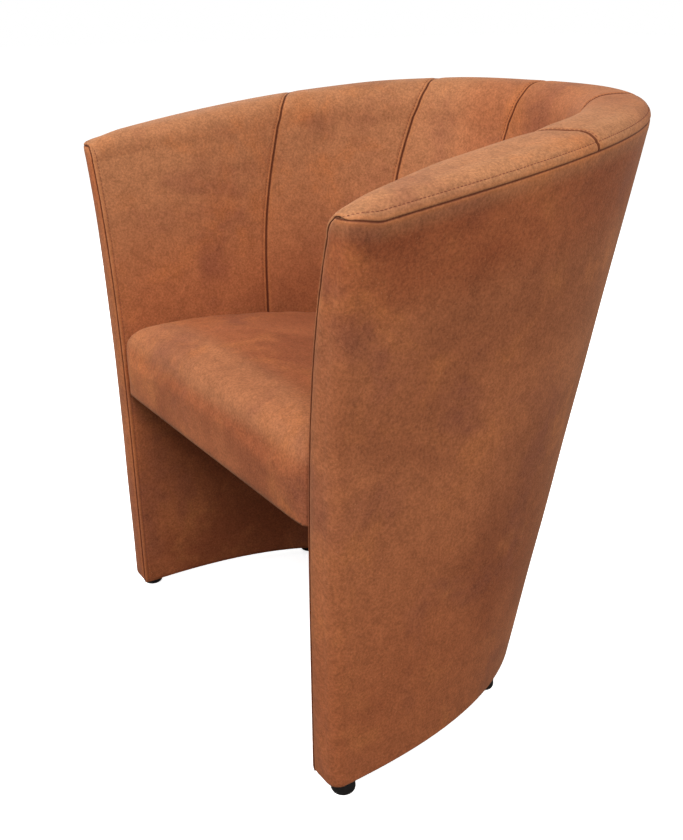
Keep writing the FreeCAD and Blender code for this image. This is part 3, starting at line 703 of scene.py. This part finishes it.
def seat_mesh():
    """The closed start shape of the cushion."""
    loops = []
    for height in SEAT_LEVELS:
        loops.append(seat_loop(height, LOW_DRAW * smooth((DRAW_TOP - height) / DRAW_FADE), -FRONT_DRAW))
    for angle in np.linspace(0, QUARTER, ROUND_STEPS):
        inset = SEAT_ROUND * (1 - math.cos(angle))
        loop = seat_loop(ROUND_LEVEL, inset, inset - FRONT_DRAW)
        loop[:, 2] = seat_top(loop[:, 0], loop[:, 1]) - SEAT_ROUND * (1 - math.sin(angle))
        loops.append(loop)
    last = loops[-1]
    centre = np.array([0.0, SEAT_MIDDLE - HALF_DEPTH, 0.0])
    for share in np.linspace(0, 1, TOP_STEPS)[1:-1]:
        loop = last * (1 - share) + centre * share
        loop[:, 2] = seat_top(loop[:, 0], loop[:, 1])
        loops.append(loop)
    verts = np.stack(loops)
    rows, cols = verts.shape[:2]
    index = np.arange(rows * cols).reshape(rows, cols)
    following = np.roll(index, -1, 1)
    quad = np.stack([index[:-1], following[:-1], following[1:], index[1:]], -1).reshape(-1, 4).tolist()
    faces = quad + [index[-1].tolist(), index[0, ::-1].tolist()]
    mesh = bpy.data.meshes.new("seat_cushion")
    mesh.from_pydata((verts.reshape(-1, 3) * MM).tolist(), [], faces)
    return add("seat_cushion", mesh)


def apply_all(thing):
    """Turns the modifiers of an object into its mesh."""
    graph = bpy.context.evaluated_depsgraph_get()
    mesh = bpy.data.meshes.new_from_object(thing.evaluated_get(graph))
    thing.modifiers.clear()
    thing.data = mesh


def coordinates(thing):
    """The points of an object as rows of x, y and z."""
    data = np.zeros(len(thing.data.vertices) * 3)
    thing.data.vertices.foreach_get("co", data)
    return data.reshape(-1, 3)


def blow_up(thing):
    """Cloth simulation with inner pressure and no gravity. The movement of each point is capped."""
    before = coordinates(thing)
    group = thing.vertex_groups.new(name="held")
    low = np.nonzero(before[:, 2] < (SEAT_LOW + HELD) * MM)[0]
    group.add(low.tolist(), 1.0, "REPLACE")
    cloth = thing.modifiers.new("cloth", "CLOTH")
    for title, value in CLOTH.items():
        setattr(cloth.settings, title, value)
    cloth.settings.effector_weights.gravity = 0.0
    cloth.collision_settings.use_collision = False
    scene = bpy.context.scene
    cloth.point_cache.frame_start, cloth.point_cache.frame_end = 1, FRAMES
    for number in range(1, FRAMES + 1):
        scene.frame_set(number)
    apply_all(thing)
    scene.frame_set(1)
    step = coordinates(thing) - before
    size = np.linalg.norm(step, axis=1, keepdims=True)
    step *= np.minimum(1.0, LONGEST_WAY * MM / np.maximum(size, 1e-12))
    thing.data.vertices.foreach_set("co", (before + step).ravel())
    thing.data.update()


def fold_below(thing):
    """Cuts the cushion flat at its lower edge, folds the cover under and closes it."""
    work = bmesh.new()
    work.from_mesh(thing.data)
    every = work.verts[:] + work.edges[:] + work.faces[:]
    bmesh.ops.bisect_plane(
        work, geom=every, plane_co=(0, 0, SEAT_LOW * MM), plane_no=(0, 0, 1), clear_inner=True)
    rim = [edge for edge in work.edges if edge.is_boundary]
    fold = bmesh.ops.extrude_edge_only(work, edges=rim)["geom"]
    corners = [item for item in fold if isinstance(item, bmesh.types.BMVert)]
    middle = sum((corner.co for corner in corners), Vector()) / len(corners)
    for corner in corners:
        inward = (middle - corner.co).normalized() * FOLD * MM
        corner.co += Vector((inward.x, inward.y, FOLD_RISE * MM))
    bmesh.ops.contextual_create(work, geom=[item for item in fold if isinstance(item, bmesh.types.BMEdge)])
    bmesh.ops.recalc_face_normals(work, faces=work.faces[:])
    work.to_mesh(thing.data)
    work.free()


seat = seat_mesh()
remesh = seat.modifiers.new("remesh", "REMESH")
remesh.mode = "VOXEL"
remesh.voxel_size = VOXEL
apply_all(seat)
relax = seat.modifiers.new("relax", "SMOOTH")
relax.factor, relax.iterations = RELAX, RELAX_PASSES
apply_all(seat)
blow_up(seat)
finer = seat.modifiers.new("finer", "SUBSURF")
finer.levels = finer.render_levels = 1
apply_all(seat)
seat.data.polygons.foreach_set("use_smooth", np.ones(len(seat.data.polygons), bool))
fold_below(seat)

# %% [markdown]
# ## Feet
# Four round plastic glides, turned on a lathe: a profile of radius and height goes round the axis.


# %% Feet
FRONT_ROW, LATHE_STEPS = -100, 48
FOOT_PROFILE = [
    (6.8, 12.0), (7.0, 1.2), (7.6, 0.3), (8.6, 0.0), (11.4, 0.0), (12.9, 0.35), (14.1, 1.3),
    (14.8, 2.8), (15.0, 4.6), (14.7, 9.0), (14.0, 14.0), (13.2, 18.0), (13.0, 21.6)]


def lathe(name, profile, centres):
    """Solids of revolution: radius times cosine and sine, height as it is."""
    angle = np.linspace(0, 2 * math.pi, LATHE_STEPS + 1)
    radius, height = np.array(profile).T[..., None]
    height = np.repeat(height, len(angle), 1)
    grids = [np.stack([x + radius * np.cos(angle), y + radius * np.sin(angle), height], -1)
             for x, y in centres]
    return mesh_from_grids(name, grids)


def foot_centres():
    """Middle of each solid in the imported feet."""
    data = coordinates(frame["nodes"]["feet"]) / MM
    centres = []
    for sign in (-1, 1):
        for front in (True, False):
            some = data[(data[:, 0] * sign > 0) & ((data[:, 1] < FRONT_ROW) == front), :2]
            centres.append((some.min(0) + some.max(0)) / 2)
    return centres


feet = lathe("foot_glides", FOOT_PROFILE, foot_centres())

# %% [markdown]
# ## Suede
# Suede looks cloudy: broad patches of two browns, smaller patches where the nap lies another way, and a
# fine grain. It is lighter in a band beside the seams, with painted shade in the seam creases and painted
# light where a given share asks for it. All of it is noise of the place.


# %% Materials
def socket_group(name, inputs, outputs):
    """An empty node group with the named inputs and outputs."""
    group = bpy.data.node_groups.new(name, "ShaderNodeTree")
    for way, sockets in (("INPUT", inputs), ("OUTPUT", outputs)):
        for title, kind in sockets.items():
            group.interface.new_socket(name=title, in_out=way, socket_type="NodeSocket" + kind)
    return group, group.nodes.new("NodeGroupInput"), group.nodes.new("NodeGroupOutput")


class Sheet:
    """Short names for the nodes of one tree."""

    def __init__(self, tree):
        self.tree = tree

    def put(self, node, inputs):
        """Links sockets to a node's inputs, or sets plain values."""
        for title, value in inputs.items():
            if isinstance(value, bpy.types.NodeSocket):
                self.tree.links.new(value, node.inputs[title])
            else:
                node.inputs[title].default_value = value

    def node(self, kind, output, inputs, **settings):
        """A new node. Gives back one of its outputs."""
        node = self.tree.nodes.new("ShaderNode" + kind)
        for title, value in settings.items():
            setattr(node, title, value)
        self.put(node, inputs)
        return node.outputs[output]

    def noise(self, vector, scale, detail=4.0, rough=0.5, distortion=0.0):
        """Noise of a place, about 0.5 in the middle."""
        return self.node("TexNoise", "Fac", {
            "Vector": vector, "Scale": scale, "Detail": detail, "Roughness": rough,
            "Distortion": distortion})

    def span(self, value, low, high, to_low=0.0, to_high=1.0):
        """A soft step of a value between two limits, from one number to another."""
        return self.node("MapRange", "Result", {
            "Value": value, "From Min": low, "From Max": high, "To Min": to_low, "To Max": to_high,
        }, interpolation_type="SMOOTHSTEP")

    def sum(self, kind, first, second):
        """One step of arithmetic."""
        return self.node("Math", 0, {0: first, 1: second}, operation=kind)

    def times(self, first, second):
        """The product of two numbers."""
        return self.sum("MULTIPLY", first, second)

    def mix(self, share, first, second, kind="MIX"):
        """Two colours mixed by a share."""
        return self.node("Mix", "Result", {"Factor": share, "A": first, "B": second},
                         data_type="RGBA", blend_type=kind)

    def mapped(self, vector, offset=(0, 0, 0), scale=(1, 1, 1)):
        """A place scaled and moved, so that two noises don't fall together."""
        return self.node("Mapping", "Vector", {"Vector": vector, "Location": offset, "Scale": scale})

    def axis(self, vector, name):
        """One coordinate of a place."""
        return self.node("SeparateXYZ", name, {"Vector": vector})


def new_material(name):
    """A material with nodes, the sheet of its tree and its shader."""
    material = bpy.data.materials.new(name)
    material.use_nodes = True
    tree = material.node_tree
    return material, Sheet(tree), tree.nodes["Principled BSDF"]


def rgb(red, green, blue):
    """A colour as the eye names it, 0 to 255, turned into linear light."""
    def linear(value):
        value /= 255
        return value / 12.92 if value <= 0.04045 else ((value + 0.055) / 1.055) ** 2.4
    return (linear(red), linear(green), linear(blue), 1.0)


NAP_HEIGHT, NAP_STRENGTH, NO_SEAM = 0.0008, 0.55, 1.0
SUEDE_SHINE = {
    "Specular IOR Level": 0.15, "Sheen Weight": 0.16, "Sheen Roughness": 0.4,
    "Sheen Tint": rgb(255, 206, 166),
}
# The third colour, the seam one, is painted shade for the seam creases.
SUEDE, SUEDE_DEEP, SUEDE_SEAM_SHADE = rgb(172, 99, 62), rgb(148, 80, 50), rgb(84, 36, 22)
SUEDE_PLUM, SUEDE_ORANGE, SUEDE_FIBRE = rgb(132, 76, 60), rgb(196, 120, 70), rgb(222, 158, 112)
# Painted light: a lighter, less saturated suede that stands in for lamplight on upper parts.
SUEDE_PAINTED_LIGHT = rgb(184, 129, 90)


def suede_group():
    """Colour, roughness and height of suede from a place and the distances to the seams."""
    group, given, result = socket_group(
        "suede", {"Place": "Vector", "Edge": "Float", "Top": "Float", "PaintedLight": "Float"},
        {"Color": "Color", "Roughness": "Float", "Height": "Float"})
    s = Sheet(group)
    where = given.outputs["Place"]
    broad = s.noise(where, 5.5, 3.0, 0.5, 0.2)
    plum = s.noise(s.mapped(where, (3.1, 1.7, 0.4)), 8.0, 5.0, 0.58, 0.3)
    orange = s.noise(s.mapped(where, (-2.3, 0.9, 5.2)), 12.0, 6.0, 0.62, 0.4)
    mottle = s.noise(where, 62.0, 6.0, 0.66)
    grain = s.noise(where, 330.0, 4.0, 0.72)
    speck = s.noise(s.mapped(where, (0.7, 4.2, 1.9)), 620.0, 2.0, 0.6, 0.8)
    colour = s.mix(s.span(broad, 0.34, 0.62), SUEDE_DEEP, SUEDE)
    # Painted light: the lighter suede mixed in by the given share.
    colour = s.mix(s.times(given.outputs["PaintedLight"], 0.85), colour, SUEDE_PAINTED_LIGHT)
    colour = s.mix(s.span(plum, 0.50, 0.70, 0.0, 0.5), colour, SUEDE_PLUM)
    colour = s.mix(s.span(orange, 0.50, 0.74, 0.0, 0.5), colour, SUEDE_ORANGE)
    tone = s.sum("ADD", s.span(mottle, 0.3, 0.7, 0.89, 1.10), s.span(grain, 0.3, 0.7, -0.22, 0.24))
    grey = s.node("CombineColor", "Color", dict.fromkeys(("Red", "Green", "Blue"), tone))
    colour = s.mix(1.0, colour, grey, "MULTIPLY")
    colour = s.mix(s.span(speck, 0.63, 0.76, 0.0, 0.42), colour, SUEDE_FIBRE)
    near = s.sum("MINIMUM", s.sum("SUBTRACT", given.outputs["Edge"], 0.0007), given.outputs["Top"])
    # Lighter in a band a few millimetres beside each seam.
    beside_seam = s.times(s.span(near, 0.007, 0.0025), s.span(near, 0.0008, 0.002))
    colour = s.mix(s.times(beside_seam, 0.3), colour, SUEDE_ORANGE)
    # Painted shade: the seam crease darkens to a deep brown.
    colour = s.mix(s.times(s.span(near, 0.0016, 0.0004), 0.85), colour, SUEDE_SEAM_SHADE)
    height = s.sum("ADD", s.times(grain, 0.8), s.times(mottle, 0.8))
    height = s.sum("ADD", height, s.times(speck, 0.35))
    s.put(result, {"Color": colour, "Roughness": s.span(broad, 0.3, 0.7, 0.94, 0.86), "Height": height})
    return group


SUEDE_GROUP = suede_group()


def suede(name, with_edges, painted_light):
    """Suede with painted shade in its seam creases and a lighter band beside them, if it has seam maps.
    The last argument gives the share of painted light from the sheet, the place and the distance to
    the top seam."""
    material, s, shader = new_material(name)
    where = s.node("TexCoord", "Object", {})
    group = s.tree.nodes.new("ShaderNodeGroup")
    group.node_tree = SUEDE_GROUP
    edge = top = NO_SEAM
    if with_edges:
        edges = s.node("UVMap", "UV", {}, uv_map="edges")
        edge, top = s.axis(edges, "X"), s.axis(edges, "Y")
    s.put(group, {"Place": where, "Edge": edge, "Top": top, "PaintedLight": painted_light(s, where, top)})
    normal = s.node("Bump", "Normal", {
        "Strength": NAP_STRENGTH, "Distance": NAP_HEIGHT, "Height": group.outputs["Height"]})
    s.put(shader, {"Base Color": group.outputs["Color"], "Roughness": group.outputs["Roughness"],
                   "Normal": normal} | SUEDE_SHINE)
    return material


def plain(name, first, second, scale, rough, stretch=(1, 1, 1), metal=0.0, bump_depth=0.0):
    """A simple procedural material: two colours mixed by stretched noise."""
    material, s, shader = new_material(name)
    where = s.node("TexCoord", "Object", {})
    pattern = s.noise(s.mapped(where, scale=stretch), scale, 5.0, 0.6, 0.4)
    colour = s.mix(s.span(pattern, 0.35, 0.65), rgb(*first), rgb(*second))
    s.put(shader, {"Base Color": colour, "Roughness": rough, "Metallic": metal})
    if bump_depth:
        s.put(shader, {"Normal": s.node("Bump", "Normal", {"Distance": bump_depth, "Height": pattern})})
    return material


def inner_painted_light(s, where, top):
    """Painted light: lighter from the seat upwards, most so along the top seam, less on the back's right
    part.
    """
    rise = s.span(s.axis(where, "Z"), 0.42, 0.70, 0.20, 0.85)
    painted_light = s.sum("MAXIMUM", rise, s.span(top, 0.075, 0.030, 0.0, 1.0))
    x, y = s.axis(where, "X"), s.axis(where, "Y")
    back = s.times(s.span(x, -0.15, -0.03), s.span(y, 0.05, 0.20))
    return s.times(painted_light, s.span(back, 0.0, 1.0, 1.0, 0.45))


def outer_painted_light(s, where, top):
    """Painted light downwards from the top seam: a lighter strip, a dark belt, a lighter middle and
    painted shade at the foot.
    """
    middle = s.times(s.span(top, 0.065, 0.130, 0.0, 0.24), s.span(top, 0.30, 0.60, 1.0, 0.0))
    return s.sum("ADD", s.span(top, 0.027, 0.004, 0.0, 0.5), middle)


def seat_painted_highlight(s, where, top):
    """Painted highlight: the seat is lighter along the ridge above its front."""
    y, z = s.axis(where, "Y"), s.axis(where, "Z")
    ridge = s.times(s.span(z, 0.405, 0.435), s.span(y, -0.19, -0.25))
    return s.span(ridge, 0.0, 1.0, 0.05, 0.50)


def no_painted_light(s, where, top):
    """Cloth with no painted light."""
    return 0.0


suede_inner = suede("suede_inner", True, inner_painted_light)
suede_outer = suede("suede_outer", True, outer_painted_light)
suede_lining = suede("suede_lining", True, no_painted_light)
suede_seat = suede("suede_seat", False, seat_painted_highlight)
suede_plain = suede("suede_plain", False, no_painted_light)
thread_look = plain("thread_look", (142, 78, 52), (118, 63, 42), 900.0, 0.75)
plastic_look = plain("plastic_look", (20, 17, 17), (30, 27, 27), 300.0, 0.42, bump_depth=0.0001)
LOOKS = {
    "suede_cover": suede_plain,
    "foam": plain("foam_look", (236, 226, 190), (222, 208, 166), 160.0, 0.95, bump_depth=0.001),
    "felt": plain("felt_look", (150, 148, 140), (112, 110, 106), 220.0, 0.98, bump_depth=0.001),
    "black_cloth": plain("black_cloth_look", (24, 24, 25), (36, 36, 38), 700.0, 0.95, bump_depth=0.0003),
    "hardboard": plain("hardboard_look", (128, 92, 58), (104, 72, 44), 90.0, 0.7, (1, 1, 0.3)),
    "frame_wood": plain("frame_wood_look", (214, 180, 132), (184, 144, 96), 22.0, 0.6, (1, 1, 7)),
    "spring_steel": plain("spring_steel_look", (92, 92, 96), (70, 70, 74), 200.0, 0.35, metal=1.0),
    "zinc_steel": plain("zinc_steel_look", (190, 192, 196), (160, 163, 168), 260.0, 0.4, metal=1.0),
    "black_plastic": plastic_look,
}


def wear(thing, material):
    """Gives an object one material."""
    thing.data.materials.clear()
    thing.data.materials.append(material)


slot_of = {part["node"]: part["material_slot"] for part in frame["record"]["subparts"]}
for node, thing in frame["nodes"].items():
    wear(thing, LOOKS[slot_of[node]])
for thing in panel_objects:
    wear(thing, suede_inner)
for thing, material in (
        (outer_cloth, suede_outer), (lining_cloth, suede_lining), (seat, suede_seat),
        (thread, thread_look), (feet, plastic_look)):
    wear(thing, material)

# %% [markdown]
# ## Fixing the pieces to the frame
# Nothing in this chair moves, so every piece rides on the one body. Each cloth piece stands for the
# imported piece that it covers.

# %% Riding
for thing, (_, _, _, _, node) in zip(panel_objects, PANELS):
    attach(thing, "root")
    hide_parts(node)
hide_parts("seat_foam")
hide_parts("wall_foam")
for thing, node, slot in (
        (outer_cloth, "outer_cover", "suede_cover"),
        (lining_cloth, "lower_lining", "suede_cover"),
        (seat, "seat_cover", "suede_cover"),
        (feet, "feet", "black_plastic")):
    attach(thing, "root")
    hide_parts(node)
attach(thread, "root")

# %% [markdown]
# ## Studio
# The photo is a catalogue picture on white. Two broad soft lights stand at the left front and in front, a
# warmer one at the right, and two weak ones behind and at the left. The floor is white for the camera but
# still takes a shadow.

# %% Studio
SKY_LIGHT, FLOOR_HALF, FLOOR_TONE, FLOOR_GLOW = 0.27, 30, (0.15, 0.145, 0.14, 1), 0.8
BLANK, WHITE, WARM = (1, 1, 1, 1), (1, 1, 1), (1.0, 0.96, 0.91)
scene = bpy.context.scene
scene.view_settings.view_transform = "Standard"
scene.render.film_transparent = False

# Square soft lights: name, place, height that they look at, size, watts and colour.
for name, spot, aim, size, power, colour in (
        ("key", (-1.4, -2.2, 2.6), 0.5, 1.8, 52.0, WHITE),
        ("front", (0.1, -2.6, 2.8), 0.5, 1.8, 26.0, WHITE),
        ("side", (2.3, -1.1, 2.2), 0.75, 1.4, 56.0, WARM),
        ("back", (0.5, 2.7, 1.25), 0.4, 2.0, 25.0, WHITE),
        ("left", (-2.5, 0.7, 1.2), 0.4, 1.6, 26.0, WHITE)):
    light = bpy.data.lights.new(name, "AREA")
    light.shape, light.size, light.energy, light.color = "SQUARE", size, power, colour
    lamp = add(name, light)
    lamp.location = spot
    lamp.rotation_euler = (Vector((0, 0, aim)) - Vector(spot)).to_track_quat("-Z", "Y").to_euler()

world = bpy.data.worlds.new("studio")
scene.world = world
world.use_nodes = True
s = Sheet(world.node_tree)
strength = s.node("MapRange", "Result", {
    "Value": s.node("LightPath", "Is Camera Ray", {}), "To Min": SKY_LIGHT, "To Max": 1.0})
s.put(s.tree.nodes["Background"], {"Color": BLANK, "Strength": strength})

floor_mesh = bpy.data.meshes.new("floor")
corners = [(x * FLOOR_HALF, y * FLOOR_HALF, 0) for x, y in ((-1, -1), (1, -1), (1, 1), (-1, 1))]
floor_mesh.from_pydata(corners, [], [(0, 1, 2, 3)])
floor = add("floor", floor_mesh)
ground, s, shader = new_material("ground")
seen = s.node("LightPath", "Is Camera Ray", {})
s.put(shader, {
    "Roughness": 1.0, "Specular IOR Level": 0.0, "Base Color": s.mix(seen, FLOOR_TONE, BLANK),
    "Emission Color": BLANK, "Emission Strength": s.times(seen, FLOOR_GLOW)})
floor.data.materials.append(ground)

# %% [markdown]
# ## Camera
# The camera was solved from the photo: its place, its two angles, a small roll and a focal length of
# 42 mm on a sensor 36 mm high.

# %% Camera
YAW, PITCH, ROLL = 2.560583686683849, -0.3937248948331488, -0.008007406051147564
EYE_X, EYE_Y, EYE_Z = 1.04954, -0.47826, 0.85842
ahead = Vector((math.cos(PITCH) * math.cos(YAW), math.cos(PITCH) * math.sin(YAW), math.sin(PITCH)))
right = Vector((math.sin(YAW), -math.cos(YAW), 0.0))
above = right.cross(ahead)
turned = right * math.cos(ROLL) + above * math.sin(ROLL)
upright = above * math.cos(ROLL) - right * math.sin(ROLL)
lens = bpy.data.cameras.new("camera")
lens.sensor_fit = "VERTICAL"
lens.sensor_height, lens.lens = 36.0, 42.0
camera = add("camera", lens)
camera.matrix_world = Matrix.Translation((EYE_X, EYE_Y - HALF_DEPTH * MM, EYE_Z)) @ Matrix(
    (turned, upright, -ahead)).transposed().to_4x4()
scene.camera = camera
